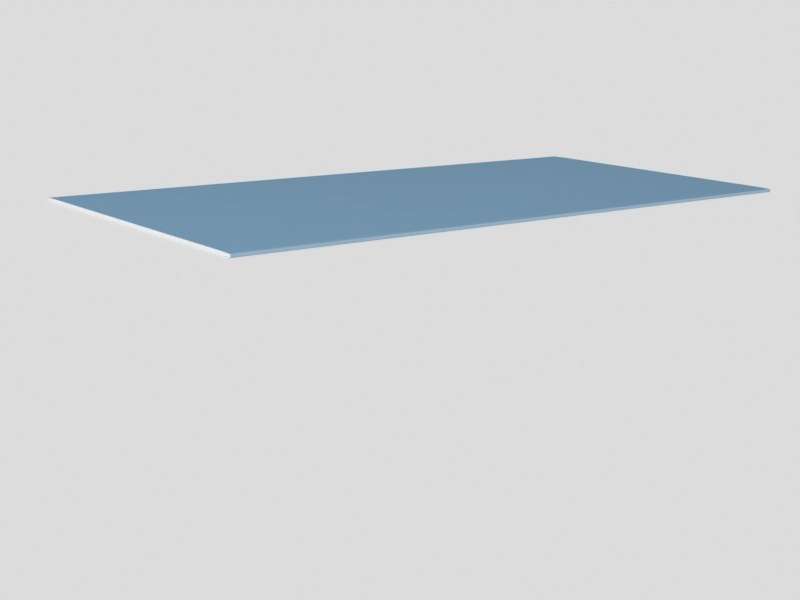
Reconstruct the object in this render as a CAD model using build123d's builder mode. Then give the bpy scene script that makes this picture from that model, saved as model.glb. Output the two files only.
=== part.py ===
"""Plasterboard (drywall) sheet with tapered long edges.

A gypsum core is held between two papers. The face paper wraps both long edges and
is folded back under the sheet, where the back paper laps over the folds. The two
short ends are cut square, so the core and the edges of the papers show there.

Millimetres. The sheet lies on its back: X runs along its length, Y across its
width and Z up to its face. The origin is at the middle of the underside.
"""

import os

from build123d import *

# The sheet
sheet_length = 2500.0
sheet_width = 1200.0
sheet_thickness = 12.5

# The papers
face_paper_thickness = 0.35
back_paper_thickness = 0.35

# The taper that the face has along each long edge, filled with jointing later
taper_width = 50.0
taper_depth = 1.5
taper_shoulder_radius = 900.0

# How sharply the face paper is creased round each long edge
face_arris_radius = 1.5
back_arris_radius = 1.0

# How far the face paper is folded in under the sheet, and how far in from the
# long edge the back paper that laps over it stops
fold_return = 30.0
back_paper_inset = 10.0

half_width = sheet_width / 2
edge_height = sheet_thickness - taper_depth


# Section of all that the face paper wraps, to the paper's outside
with BuildSketch(Plane.YZ) as wrapped_section:
    with BuildLine():
        Polyline(
            (half_width, back_paper_thickness),
            (half_width, edge_height),
            (half_width - taper_width, sheet_thickness),
            (taper_width - half_width, sheet_thickness),
            (-half_width, edge_height),
            (-half_width, back_paper_thickness),
            close=True,
        )
    make_face()
    back_arrises, face_arrises, shoulders = wrapped_section.vertices().group_by(Axis.Y)
    fillet(back_arrises, back_arris_radius)
    fillet(face_arrises, face_arris_radius)
    fillet(shoulders, taper_shoulder_radius)


# Gypsum core: one paper thickness inside the wrap, and level with the outside of
# the folds where it fills the gap between them
with BuildPart() as gypsum_core:
    with BuildSketch(Plane.YZ) as core_section:
        offset(wrapped_section.sketch_local, amount=-face_paper_thickness)
        with Locations((0, back_paper_thickness)):
            Rectangle(
                sheet_width - 2 * fold_return,
                face_paper_thickness,
                align=(Align.CENTER, Align.MIN),
            )
    extrude(amount=sheet_length / 2, both=True)
gypsum_core.part.label = "gypsum_core"


# Face paper: what is left of the wrap round the core, open between its two folds
with BuildPart() as face_paper:
    with BuildSketch(Plane.YZ):
        add(wrapped_section.sketch_local)
        add(core_section.sketch_local, mode=Mode.SUBTRACT)
    extrude(amount=sheet_length / 2, both=True)
face_paper.part.label = "face_paper"


# Back paper: one flat strip over the core and the folds
with BuildPart() as back_paper:
    with BuildSketch(Plane.YZ):
        Rectangle(
            sheet_width - 2 * back_paper_inset,
            back_paper_thickness,
            align=(Align.CENTER, Align.MIN),
        )
    extrude(amount=sheet_length / 2, both=True)
back_paper.part.label = "back_paper"


os.makedirs("parts", exist_ok=True)
for piece in (gypsum_core, face_paper, back_paper):
    export_step(piece.part, f"parts/{piece.part.label}.step")
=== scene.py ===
"""Looks of a tapered-edge drywall sheet, lying on its back on a pale floor.

Metres, in the frame of the CAD: X runs along the sheet's length, Y across its width
and Z out of its face. The gypsum core, the face paper and the back paper are each
rebuilt here as one closed surface, where the CAD has them.
"""

from math import radians, sin

import bpy
import numpy as np
from mathutils import Matrix, Vector


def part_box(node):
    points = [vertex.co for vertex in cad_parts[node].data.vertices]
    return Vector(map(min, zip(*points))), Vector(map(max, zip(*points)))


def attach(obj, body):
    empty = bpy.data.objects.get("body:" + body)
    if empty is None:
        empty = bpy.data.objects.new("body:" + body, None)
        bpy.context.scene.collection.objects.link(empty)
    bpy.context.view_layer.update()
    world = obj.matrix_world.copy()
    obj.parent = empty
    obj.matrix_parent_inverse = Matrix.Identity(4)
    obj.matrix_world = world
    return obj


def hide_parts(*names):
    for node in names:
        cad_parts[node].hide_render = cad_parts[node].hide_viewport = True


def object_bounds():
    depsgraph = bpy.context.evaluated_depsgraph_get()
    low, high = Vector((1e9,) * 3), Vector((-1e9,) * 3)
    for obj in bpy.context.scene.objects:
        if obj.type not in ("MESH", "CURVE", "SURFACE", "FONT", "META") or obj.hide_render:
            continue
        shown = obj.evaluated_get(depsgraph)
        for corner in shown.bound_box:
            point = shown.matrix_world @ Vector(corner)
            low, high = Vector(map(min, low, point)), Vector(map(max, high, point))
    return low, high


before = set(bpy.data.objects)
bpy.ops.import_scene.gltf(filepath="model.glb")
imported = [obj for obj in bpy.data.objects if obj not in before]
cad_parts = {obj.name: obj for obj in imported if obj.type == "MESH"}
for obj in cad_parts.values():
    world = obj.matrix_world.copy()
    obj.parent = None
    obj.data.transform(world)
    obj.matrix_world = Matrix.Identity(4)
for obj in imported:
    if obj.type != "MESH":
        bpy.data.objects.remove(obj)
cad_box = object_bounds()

MM = 0.001

# From the frame: half the sheet's length and width, how thick it and its papers are, and how
# far from the middle the back paper reaches
HALF_LENGTH, HALF_WIDTH, THICKNESS = cad_box[1]
BACK_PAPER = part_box("back_paper")[1].z
FACE_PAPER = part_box("face_paper")[1].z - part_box("gypsum_core")[1].z
BACK_PAPER_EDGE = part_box("back_paper")[1].y

# The long edges, the same as in the CAD
TAPER_WIDTH = 50 * MM
TAPER_DEPTH = 1.5 * MM
SHOULDER_RADIUS = 900 * MM
FACE_ARRIS_RADIUS = 1.5 * MM
BACK_ARRIS_RADIUS = 1.0 * MM
FOLD_END = HALF_WIDTH - 30 * MM

# Points on each arc of the section, and how far the step in the core beside a fold leans, so
# that its underside has one height at each place
ARC_POINTS = 9
STEP_LEAN = 0.01 * MM

# The cut ends of the core, on a grid of points. Air bubbles are cut open, one in each cell of
# a net and with its middle in this share of the cell. The grain is broken, and the saw drifts
# in waves of four lengths.
END_GRID = 0.6 * MM
BUBBLE_SPACING = 2.2 * MM
BUBBLE_MIDDLE = (0.15, 0.85)
BUBBLE_RADIUS = 0.95 * MM
BUBBLE_DEPTH = 0.4 * MM
GRAIN_DEPTH = 0.07 * MM
SAW_DRIFT = 0.15 * MM
SAW_WAVES = 9 * MM * np.array([1.0, 1.7, 3.1, 6.3])

# The rim of the cut ends that stays whole
SOUND_RIM = 0.7 * MM

# The cut ends of the papers, which the saw leaves a little uneven
FRAY = 0.25 * MM
FRAY_STEP = 2 * MM

# The seed of all that chance places
BATCH = 12

# A length too small to see, which keeps a divisor above 0
SPECK = 1e-9

# Sides that meet more sharply than this, in degrees, keep a crisp edge between them
CREASE_ANGLE = 35

# The photograph's viewpoint: where it stands, how it is aimed in degrees, and how wide it sees
CAMERA_PLACE = (-3.158, -3.700, 0.732)
CAMERA_TURN = 39.16
CAMERA_DIP = 13.12
CAMERA_ROLL = 1.36
FOCAL_PIXELS = 1313.3
PHOTO_WIDTH = 800

# Light from all round, and from a far lamp in front and to the left, where 1 shows white as white
SKY = 0.47
LAMP = 0.84
LAMP_TURN = 27
LAMP_HEIGHT = 26
LAMP_SOFTNESS = 30

# A large soft box over the near end, in metres and watts, for the slow fall of light along the face
BOX_PLACE = (-2.2, -1.4, 3.0)
BOX_AIM = (-0.9, -0.4, 0.0)
BOX_WIDTH = 3.0
BOX_POWER = 34

# The floor: how pale it is, how far it reaches in metres, and how far it lies below the sheet
FLOOR_WHITENESS = 0.85
FLOOR_REACH = 200
FLOOR_DROP = 0.1 * MM


def linear(code):
    """An sRGB hex colour as linear red, green, blue and an alpha of 1."""
    value = np.array([int(code[i : i + 2], 16) for i in (1, 3, 5)]) / 255
    light = np.where(value <= 0.04045, value / 12.92, ((value + 0.055) / 1.055) ** 2.4)
    return (*light.tolist(), 1.0)


# Shapes


def layer(depth):
    """The path through the wrap at a depth below its outside, from back arris to back arris over the face.

    The outside of the wrap has six corners. Each is an arc that touches the sides before
    and after it, and its unit normal turns evenly from that of one side to that of the
    other. A point of the path is the arc's centre plus (radius - depth) x normal.
    """
    right = [
        (HALF_WIDTH - TAPER_WIDTH, THICKNESS),
        (HALF_WIDTH, THICKNESS - TAPER_DEPTH),
        (HALF_WIDTH, BACK_PAPER),
    ]
    left = [(-across, height) for across, height in reversed(right)]
    corners = np.array(left + right)
    radii = np.array([SHOULDER_RADIUS, FACE_ARRIS_RADIUS, BACK_ARRIS_RADIUS])
    radii = np.concatenate([radii[::-1], radii])[:, None]
    side = np.roll(corners, -1, 0) - corners
    side /= np.linalg.norm(side, axis=1, keepdims=True)
    after = np.stack([-side[:, 1], side[:, 0]], 1)
    before = np.roll(after, 1, 0)
    cosine = (before * after).sum(1, keepdims=True)
    centres = corners - radii * (before + after) / (1 + cosine)
    turn = np.arccos(cosine)[:, None]
    t = np.linspace(0, 1, ARC_POINTS)[None, :, None]
    normals = (np.sin((1 - t) * turn) * before[:, None] + np.sin(t * turn) * after[:, None]) / np.sin(turn)
    return (centres[:, None] + (radii[:, None] - depth) * normals).reshape(-1, 2)


def folded_layer(depth):
    """The same path, carried on along the folds to their inner ends."""
    height = BACK_PAPER + depth
    return np.concatenate([[(-FOLD_END, height)], layer(depth), [(FOLD_END, height)]])


def carried(paths):
    """A block of points [end, row, column]: the paths, each of (y, z) points, at the sheet's two ends."""
    section = np.stack(paths)
    block = np.empty((2, *section.shape[:2], 3))
    block[0, ..., 0] = -HALF_LENGTH
    block[1, ..., 0] = HALF_LENGTH
    block[..., 1:] = section
    return block


def block_skin(points):
    """The six outer sides of a block of points [end, row, column], as quads that face outwards."""
    index = np.arange(points[..., 0].size).reshape(points.shape[:3])

    def quads(grid):
        return np.stack([grid[:-1, :-1], grid[:-1, 1:], grid[1:, 1:], grid[1:, :-1]], -1).reshape(-1, 4)

    sides = [
        quads(index[0].T),
        quads(index[-1]),
        quads(index[:, 0]),
        quads(index[:, -1].T),
        quads(index[:, :, 0].T),
        quads(index[:, :, -1]),
    ]
    used, faces = np.unique(np.concatenate(sides), return_inverse=True)
    return used, faces.reshape(-1, 4)


def make_piece(name, points, material, node, depths=None):
    """A closed piece from a block of points, in the place of a CAD node and with its material slot.

    depths says how deep in the material each row lies, from 0 outside to 1 inside, for a
    material that reads it as the attribute depth.
    """
    used, faces = block_skin(points)
    mesh = bpy.data.meshes.new(name)
    mesh.from_pydata(points.reshape(-1, 3)[used], [], faces)
    mesh.shade_smooth()
    mesh.set_sharp_from_angle(angle=radians(CREASE_ANGLE))
    mesh.materials.append(material)
    if depths is not None:
        row = used // points.shape[2] % points.shape[1]
        depth = mesh.attributes.new("depth", "FLOAT", "POINT")
        depth.data.foreach_set("value", np.array(depths, np.float32)[row])
    piece = bpy.data.objects.new(name, mesh)
    bpy.context.scene.collection.objects.link(piece)
    shading = piece.modifiers.new("flat sides stay flat", "WEIGHTED_NORMAL")
    shading.keep_sharp = True
    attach(piece, "root")
    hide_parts(node)


def divided(paths, step):
    """Paths of like points, with points put in between until they lie within a step on the last path.

    Each stretch is cut into equal parts. A point's number tells where it lies: 2.5 is halfway
    from point 2 to point 3, on every path.
    """
    lengths = np.linalg.norm(np.diff(paths[-1], axis=0), axis=1)
    parts = np.ceil(lengths / step).astype(int)
    stretch = np.repeat(np.arange(len(parts)), parts)
    part = np.arange(parts.sum()) - (np.cumsum(parts) - parts)[stretch]
    number = np.append(stretch + part / parts[stretch], len(parts))
    whole = np.arange(len(parts) + 1)
    return [np.stack([np.interp(number, whole, line) for line in path.T], -1) for path in paths]


def fray(points, random):
    """Draws the two ends of a block of points in by 0 to FRAY, by the mean of two random shares a column."""
    shares = random.uniform(0, 1, (2, points.shape[2] + 1))
    shares = (shares[:, 1:] + shares[:, :-1]) / 2
    points[0, ..., 0] += FRAY * shares[0]
    points[1, ..., 0] -= FRAY * shares[1]
    return points


def smooth_step(value):
    """0 below 0, 1 above 1, and between them the even S of value squared x (3 - 2 x value)."""
    value = np.clip(value, 0, 1)
    return value * value * (3 - 2 * value)


def bubbles(across, height, random):
    """Depth of the cut-open air bubbles, one in each cell of a square net, most of them small.

    Each is half of a flattened ball, as deep as BUBBLE_DEPTH x size x the square root of
    1 - (distance from its middle / its radius) squared.
    """
    place = np.stack([across, height], -1) / BUBBLE_SPACING
    home = np.floor(place).astype(int)
    first = home.min((0, 1)) - 1
    cells = home.max((0, 1)) + 2 - first
    middles = random.uniform(*BUBBLE_MIDDLE, (*cells, 2))
    sizes = random.uniform(0, 1, cells) ** 2
    depth = np.zeros(across.shape)
    for step in np.ndindex(3, 3):
        cell = home + np.array(step) - 1
        key = tuple(np.moveaxis(cell - first, -1, 0))
        away = np.linalg.norm(place - cell - middles[key], axis=-1) * BUBBLE_SPACING
        size = sizes[key]
        dish = np.clip(1 - (away / (BUBBLE_RADIUS * size + SPECK)) ** 2, 0, 1)
        depth = np.maximum(depth, BUBBLE_DEPTH * size * np.sqrt(dish))
    return depth


def saw_drift(across, height, random):
    """Slow unevenness of the cut: the mean of sine waves of rising length, each at an angle of its own."""
    drift = np.zeros(across.shape)
    for length in SAW_WAVES:
        angle, phase = random.uniform(0, 2 * np.pi, 2)
        drift += np.sin((across * np.cos(angle) + height * np.sin(angle)) * 2 * np.pi / length + phase)
    return SAW_DRIFT * (drift / len(SAW_WAVES) + 1) / 2


def sawn(across, height, rim, random):
    """How far back the saw leaves a cut end: bubbles + drift + broken grain, fading out to 0 at the rim.

    rim is the distance to the papers, which hold the gypsum whole there.
    """
    cut = bubbles(across, height, random) + saw_drift(across, height, random)
    cut += GRAIN_DEPTH * random.uniform(0, 1, cut.shape)
    return cut * smooth_step(rim / SOUND_RIM)


def make_core(material):
    """The core: columns from its underside to its top, carried along the sheet, with its two ends cut back.

    The underside runs flat over the folds, and steps down between them to the back paper.
    """
    left_arris, over, right_arris = np.split(layer(FACE_PAPER), [ARC_POINTS, -ARC_POINTS])
    right_step = np.array([(FOLD_END - STEP_LEAN, BACK_PAPER), (FOLD_END, BACK_PAPER + FACE_PAPER)])
    left_step = right_step[::-1] * (-1, 1)
    under = np.concatenate([left_arris[::-1], left_step, right_step, right_arris[::-1]])
    half = over[:, 0].max()
    even = np.linspace(-half, half, round(2 * half / END_GRID))

    # Rounded to a hundredth of a micrometre, so that a place that two of them share comes once
    across = np.unique(np.concatenate([even, over[:, 0], under[:, 0]]).round(8))
    low = np.interp(across, *under.T)
    high = np.interp(across, *over.T)
    share = np.linspace(0, 1, round(THICKNESS / END_GRID) + 1)[:, None]
    height = low + (high - low) * share
    across = np.broadcast_to(across, height.shape)
    points = carried(np.stack([across, height], -1))
    rim = np.minimum.reduce([height - low, high - height, half - abs(across)])
    random = np.random.default_rng(BATCH)
    for end, inwards in ((0, 1), (1, -1)):
        points[end, ..., 0] += inwards * sawn(across, height, rim, random)
    make_piece("gypsum_core_cast", points, material, "gypsum_core")


def make_face_paper(material):
    """The face paper: the wrap between its inside and its outside, carried along the sheet."""
    paths = divided([folded_layer(FACE_PAPER), folded_layer(0)], FRAY_STEP)
    points = fray(carried(paths), np.random.default_rng(BATCH + 1))
    make_piece("face_paper_wrap", points, material, "face_paper", depths=(1, 0))


def make_back_paper(material):
    """The back paper: a flat strip over the core and the folds."""
    across = np.array([-BACK_PAPER_EDGE, BACK_PAPER_EDGE])
    paths = divided([np.stack([across, np.full(2, height)], -1) for height in (0, BACK_PAPER)], FRAY_STEP)
    points = fray(carried(paths), np.random.default_rng(BATCH + 2))
    make_piece("back_paper_strip", points, material, "back_paper", depths=(0, 1))


# Materials


def new_material(name):
    """A material whose node tree is still empty, and the tree."""
    material = bpy.data.materials.new(name)
    material.use_nodes = True
    material.node_tree.nodes.clear()
    return material, material.node_tree


def add(tree, kind, inputs=None, **settings):
    """Adds a node with its settings. An input is linked to a socket, or set to a plain value."""
    node = tree.nodes.new(kind)
    for name, value in settings.items():
        setattr(node, name, value)
    for name, value in (inputs or {}).items():
        if isinstance(value, bpy.types.NodeSocket):
            tree.links.new(value, node.inputs[name])
        else:
            node.inputs[name].default_value = value
    return node


def pulp_grain(tree, place, combed):
    """Three patterns of pulp, each a noise about 0.5: clouds, fibres, and all of it mixed.

    What is drawn on combed instead of on place comes out four times as long along the roll.
    """
    # Clouds 25 mm wide with finer ones within them, and streaks 20 mm by 450 mm
    clouds = add(
        tree,
        "ShaderNodeTexNoise",
        {"Vector": place, "Scale": 1 / (25 * MM), "Detail": 5.0, "Roughness": 0.65},
    )
    rolled = add(tree, "ShaderNodeMapping", {"Vector": place, "Scale": (1, 22, 22)})
    streaks = add(
        tree,
        "ShaderNodeTexNoise",
        {"Vector": rolled.outputs[0], "Scale": 1 / (450 * MM), "Detail": 3.0},
    )
    broad = add(tree, "ShaderNodeMix", {"Factor": 0.5, "A": streaks.outputs[0], "B": clouds.outputs[0]})

    # Fibres 0.4 mm by 1.6 mm, coarser than real ones so that they show
    fibres = add(tree, "ShaderNodeTexNoise", {"Vector": combed, "Scale": 1 / (0.4 * MM), "Detail": 2.0})
    mixed = add(tree, "ShaderNodeMix", {"Factor": 0.5, "A": broad.outputs[0], "B": fibres.outputs[0]})
    return clouds.outputs[0], fibres.outputs[0], mixed.outputs[0]


def flecked(tree, combed, lightness, fleckiness):
    """A lightness with flecks in it, some darker and some paler.

    They are bits of uncooked fibre up to 0.8 mm by 3 mm, about 15 mm apart.
    """
    sown = add(tree, "ShaderNodeTexVoronoi", {"Vector": combed, "Scale": 1 / (3.5 * MM)})
    fleck = add(
        tree,
        "ShaderNodeMapRange",
        {
            "Value": sown.outputs["Distance"],
            "From Min": 0.06,
            "From Max": 0.12,
            "To Min": 1.0,
            "To Max": 0.0,
        },
    )
    fleck_tone = add(
        tree,
        "ShaderNodeMapRange",
        {
            "Value": sown.outputs["Color"],
            "From Min": 0.3,
            "From Max": 0.7,
            "To Min": 1 - fleckiness,
            "To Max": 1 + fleckiness / 2,
        },
    )
    tone = add(
        tree,
        "ShaderNodeMix",
        {"Factor": fleck.outputs[0], "A": lightness, "B": fleck_tone.outputs[0]},
    )
    return tone.outputs[0]


def dyed_plies(tree, place, colour, edge_colour, pulp):
    """The colours of the plies: dyed, paler along the long edges, and undyed where the sheet is cut."""
    split = add(tree, "ShaderNodeSeparateXYZ", {"Vector": place})

    # Paler a little over the taper, and fully round the long arris
    out = add(tree, "ShaderNodeMath", {0: split.outputs["Y"]}, operation="ABSOLUTE")
    near_edge = add(
        tree,
        "ShaderNodeMapRange",
        {"Value": out.outputs[0], "From Min": HALF_WIDTH - TAPER_WIDTH, "From Max": HALF_WIDTH},
    )
    edge_paling = add(tree, "ShaderNodeMath", {0: near_edge.outputs[0], 1: 7.0}, operation="POWER")
    dyed = add(
        tree,
        "ShaderNodeMix",
        {"Factor": edge_paling.outputs[0], "A": linear(colour), "B": linear(edge_colour)},
        data_type="RGBA",
    )

    # The dye reaches a third of the way into the paper, which shows only where the sheet is cut
    depth = add(tree, "ShaderNodeAttribute", attribute_name="depth")
    undyed = add(
        tree,
        "ShaderNodeMapRange",
        {"Value": depth.outputs["Fac"], "From Min": 0.2, "From Max": 0.45},
    )
    along = add(tree, "ShaderNodeMath", {0: split.outputs["X"]}, operation="ABSOLUTE")
    cut_off = add(
        tree,
        "ShaderNodeMath",
        {0: along.outputs[0], 1: HALF_LENGTH - 2 * FRAY},
        operation="GREATER_THAN",
    )
    bared = add(
        tree,
        "ShaderNodeMath",
        {0: undyed.outputs[0], 1: cut_off.outputs[0]},
        operation="MULTIPLY",
    )
    plies = add(
        tree,
        "ShaderNodeMix",
        {"Factor": bared.outputs[0], "A": dyed.outputs["Result"], "B": linear(pulp)},
        data_type="RGBA",
    )
    return plies.outputs["Result"]


def paper(name, colour, edge_colour, pulp, cloudiness, fleckiness, roughness):
    """Recycled paper board from a roll, dyed on its outer ply and pressed smooth but not glossy.

    The eye gets soft clouds of pulp, long faint streaks that run with the roll, short
    fibres and sparse flecks, a paler tone towards the long arrises, and the undyed plies
    where it is cut.
    """
    material, tree = new_material(name)
    place = add(tree, "ShaderNodeTexCoord").outputs["Object"]
    combed = add(tree, "ShaderNodeMapping", {"Vector": place, "Scale": (0.25, 1, 1)}).outputs[0]
    clouds, fibres, grain = pulp_grain(tree, place, combed)
    lightness = add(
        tree,
        "ShaderNodeMapRange",
        {
            "Value": grain,
            "From Min": 0.42,
            "From Max": 0.58,
            "To Min": 1 - cloudiness,
            "To Max": 1 + cloudiness,
        },
    )
    tint = add(
        tree,
        "ShaderNodeMix",
        {
            "Factor": 1.0,
            "A": dyed_plies(tree, place, colour, edge_colour, pulp),
            "B": flecked(tree, combed, lightness.outputs[0], fleckiness),
        },
        data_type="RGBA",
        blend_type="MULTIPLY",
    )

    # A pressed surface: it waves by hundredths of a millimetre, its fibres barely stand out, and
    # it is a shade more matt where it is paler
    waves = add(tree, "ShaderNodeBump", {"Height": clouds, "Strength": 1.0, "Distance": 0.06 * MM})
    nap = add(
        tree,
        "ShaderNodeBump",
        {"Height": fibres, "Strength": 1.0, "Distance": 0.02 * MM, "Normal": waves.outputs[0]},
    )
    matt = add(
        tree,
        "ShaderNodeMapRange",
        {
            "Value": grain,
            "From Min": 0.35,
            "From Max": 0.65,
            "To Min": roughness - 0.05,
            "To Max": roughness + 0.05,
        },
    )
    shader = add(
        tree,
        "ShaderNodeBsdfPrincipled",
        {
            "Base Color": tint.outputs["Result"],
            "Roughness": matt.outputs[0],
            "Normal": nap.outputs[0],
            "IOR": 1.45,
            "Specular IOR Level": 0.2,
        },
    )
    add(tree, "ShaderNodeOutputMaterial", {"Surface": shader.outputs[0]})
    return material


def air_holes(tree, place, grain):
    """How whole the gypsum is, from 0 in an air hole to 1 outside it.

    The holes are about 1.5 mm apart, each of a size of its own, with rims that the
    colours of the grain make ragged.
    """
    shift = add(tree, "ShaderNodeVectorMath", {0: grain, "Scale": 1.2 * MM}, operation="SCALE")
    ragged = add(tree, "ShaderNodeVectorMath", {0: place, 1: shift.outputs[0]}, operation="ADD")
    holes = add(tree, "ShaderNodeTexVoronoi", {"Vector": ragged.outputs[0], "Scale": 1 / (1.5 * MM)})
    hole_size = add(
        tree,
        "ShaderNodeMapRange",
        {"Value": holes.outputs["Color"], "From Min": 0.3, "From Max": 0.8, "To Min": -0.1, "To Max": 0.24},
    )
    past_rim = add(
        tree,
        "ShaderNodeMath",
        {0: holes.outputs["Distance"], 1: hole_size.outputs[0]},
        operation="SUBTRACT",
    )
    solid = add(
        tree,
        "ShaderNodeMapRange",
        {"Value": past_rim.outputs[0], "From Min": -0.02, "From Max": 0.14},
        interpolation_type="SMOOTHSTEP",
    )
    return solid.outputs[0]


def gypsum(colour, painted_hole_shade):
    """Cast gypsum plaster, foamed and then sawn.

    The eye gets a dead matt chalk white with a broken grain, and small ragged air holes
    with painted shade inside them.
    """
    material, tree = new_material("cast gypsum")
    place = add(tree, "ShaderNodeTexCoord").outputs["Object"]

    # Grain of 0.9 mm over a slow drift of 30 mm
    grain = add(tree, "ShaderNodeTexNoise", {"Vector": place, "Scale": 1 / (0.9 * MM), "Detail": 4.0})
    drift = add(tree, "ShaderNodeTexNoise", {"Vector": place, "Scale": 1 / (30 * MM), "Detail": 2.0})
    mixed = add(tree, "ShaderNodeMix", {"Factor": 0.4, "A": grain.outputs[0], "B": drift.outputs[0]})
    lightness = add(
        tree,
        "ShaderNodeMapRange",
        {"Value": mixed.outputs[0], "From Min": 0.35, "From Max": 0.65, "To Min": 0.96, "To Max": 1.02},
    )
    solid = air_holes(tree, place, grain.outputs["Color"])
    # Painted shade: the air holes take a darker grey that stands in for the shade down in them
    shaded = add(
        tree,
        "ShaderNodeMix",
        {"Factor": solid, "A": linear(painted_hole_shade), "B": linear(colour)},
        data_type="RGBA",
    )
    tint = add(
        tree,
        "ShaderNodeMix",
        {"Factor": 1.0, "A": shaded.outputs["Result"], "B": lightness.outputs[0]},
        data_type="RGBA",
        blend_type="MULTIPLY",
    )

    # Pits 0.12 mm deep at the air holes, and a grain that is torn up to 0.2 mm deep all over
    pits = add(tree, "ShaderNodeBump", {"Height": solid, "Strength": 1.0, "Distance": 0.12 * MM})
    broken = add(
        tree,
        "ShaderNodeBump",
        {"Height": grain.outputs[0], "Strength": 1.0, "Distance": 0.2 * MM, "Normal": pits.outputs[0]},
    )

    # Dead matt where the grain is torn, and a shade smoother where the saw has rubbed it
    matt = add(
        tree,
        "ShaderNodeMapRange",
        {"Value": mixed.outputs[0], "From Min": 0.35, "From Max": 0.65, "To Min": 1.0, "To Max": 0.88},
    )
    shader = add(
        tree,
        "ShaderNodeBsdfPrincipled",
        {
            "Base Color": tint.outputs["Result"],
            "Roughness": matt.outputs[0],
            "Normal": broken.outputs[0],
            "IOR": 1.52,
            "Specular IOR Level": 0.15,
        },
    )
    add(tree, "ShaderNodeOutputMaterial", {"Surface": shader.outputs[0]})
    return material


# Floor, light and camera


def make_floor():
    """A wide plain floor, a hair below the sheet."""
    material, tree = new_material("pale floor")
    matt = add(tree, "ShaderNodeBsdfDiffuse", {"Color": (*[FLOOR_WHITENESS] * 3, 1)})
    add(tree, "ShaderNodeOutputMaterial", {"Surface": matt.outputs[0]})
    corners = FLOOR_REACH * np.array([(-1, -1), (1, -1), (1, 1), (-1, 1)])
    mesh = bpy.data.meshes.new("floor")
    mesh.from_pydata([(x, y, -FLOOR_DROP) for x, y in corners], [], [(0, 1, 2, 3)])
    mesh.materials.append(material)
    floor = bpy.data.objects.new("floor", mesh)
    bpy.context.scene.collection.objects.link(floor)
    return floor


def make_world():
    """Even light from all round. The camera and a gloss see it as bright as the floor, with no horizon."""
    world = bpy.data.worlds.new("studio")
    world.use_nodes = True
    tree = world.node_tree
    tree.nodes.clear()

    # What the floor gives back of the light on it, from all round and from the far lamp
    floor_light = FLOOR_WHITENESS * (SKY + LAMP * sin(radians(LAMP_HEIGHT)))
    ray = add(tree, "ShaderNodeLightPath").outputs
    mirrored = add(tree, "ShaderNodeMath", {0: ray["Is Glossy Ray"], 1: ray["Is Transmission Ray"]})
    seen = add(tree, "ShaderNodeMath", {0: ray["Is Camera Ray"], 1: mirrored.outputs[0]}, use_clamp=True)
    light = add(tree, "ShaderNodeBackground", {"Color": (1, 1, 1, 1), "Strength": SKY})
    backdrop = add(tree, "ShaderNodeBackground", {"Color": (1, 1, 1, 1), "Strength": floor_light})
    mixed = add(
        tree,
        "ShaderNodeMixShader",
        {"Fac": seen.outputs[0], 1: light.outputs[0], 2: backdrop.outputs[0]},
    )
    add(tree, "ShaderNodeOutputWorld", {"Surface": mixed.outputs[0]})
    bpy.context.scene.world = world


def make_lamp():
    """The far lamp, turned left from -Y and raised above the level, with soft-edged shadows."""
    data = bpy.data.lights.new("far lamp", "SUN")
    data.energy = LAMP * np.pi
    data.angle = radians(LAMP_SOFTNESS)
    lamp = bpy.data.objects.new("far lamp", data)
    turn = Matrix.Rotation(radians(-LAMP_TURN), 4, "Z")
    lamp.matrix_world = turn @ Matrix.Rotation(radians(90 - LAMP_HEIGHT), 4, "X")
    bpy.context.scene.collection.objects.link(lamp)


def make_soft_box(floor):
    """The soft box, turned to face its aim. The camera doesn't see it, and it leaves the floor even."""
    data = bpy.data.lights.new("soft box", "AREA")
    data.size = BOX_WIDTH
    data.energy = BOX_POWER
    box = bpy.data.objects.new("soft box", data)
    aim = Vector(BOX_AIM) - Vector(BOX_PLACE)
    box.matrix_world = Matrix.Translation(BOX_PLACE) @ aim.to_track_quat("-Z", "Y").to_matrix().to_4x4()
    box.visible_camera = False
    bpy.context.scene.collection.objects.link(box)
    shielded = bpy.data.collections.new("shielded from the soft box")
    shielded.objects.link(floor)
    shielded.collection_objects[0].light_linking.link_state = "EXCLUDE"
    box.light_linking.receiver_collection = shielded


def make_camera():
    """Aimed by a turn from +Y towards +X, a dip below the level and a roll about its own line of sight."""
    data = bpy.data.cameras.new("photograph")
    data.lens = data.sensor_width * FOCAL_PIXELS / PHOTO_WIDTH
    data.clip_end = 2 * FLOOR_REACH
    camera = bpy.data.objects.new("photograph", data)
    turn = Matrix.Rotation(radians(-CAMERA_TURN), 4, "Z")
    dip = Matrix.Rotation(radians(90 - CAMERA_DIP), 4, "X")
    roll = Matrix.Rotation(radians(CAMERA_ROLL), 4, "Z")
    camera.matrix_world = Matrix.Translation(CAMERA_PLACE) @ turn @ dip @ roll
    bpy.context.scene.collection.objects.link(camera)
    bpy.context.scene.camera = camera


# The second grey of the gypsum is painted shade for its air holes
make_core(gypsum(colour="#E8EBEE", painted_hole_shade="#C6C6C5"))
make_face_paper(
    paper(
        "dyed face paper",
        colour="#688CA6",
        # Paler towards the long arrises
        edge_colour="#8098AB",
        pulp="#B9B4AA",
        cloudiness=0.045,
        fleckiness=0.15,
        roughness=0.8,
    )
)
make_back_paper(
    paper(
        "undyed back paper",
        colour="#A9A6A0",
        edge_colour="#A9A6A0",
        pulp="#B4B0A8",
        cloudiness=0.07,
        fleckiness=0.3,
        roughness=0.85,
    )
)
make_world()
make_lamp()
make_soft_box(make_floor())
make_camera()
bpy.context.scene.view_settings.view_transform = "Standard"
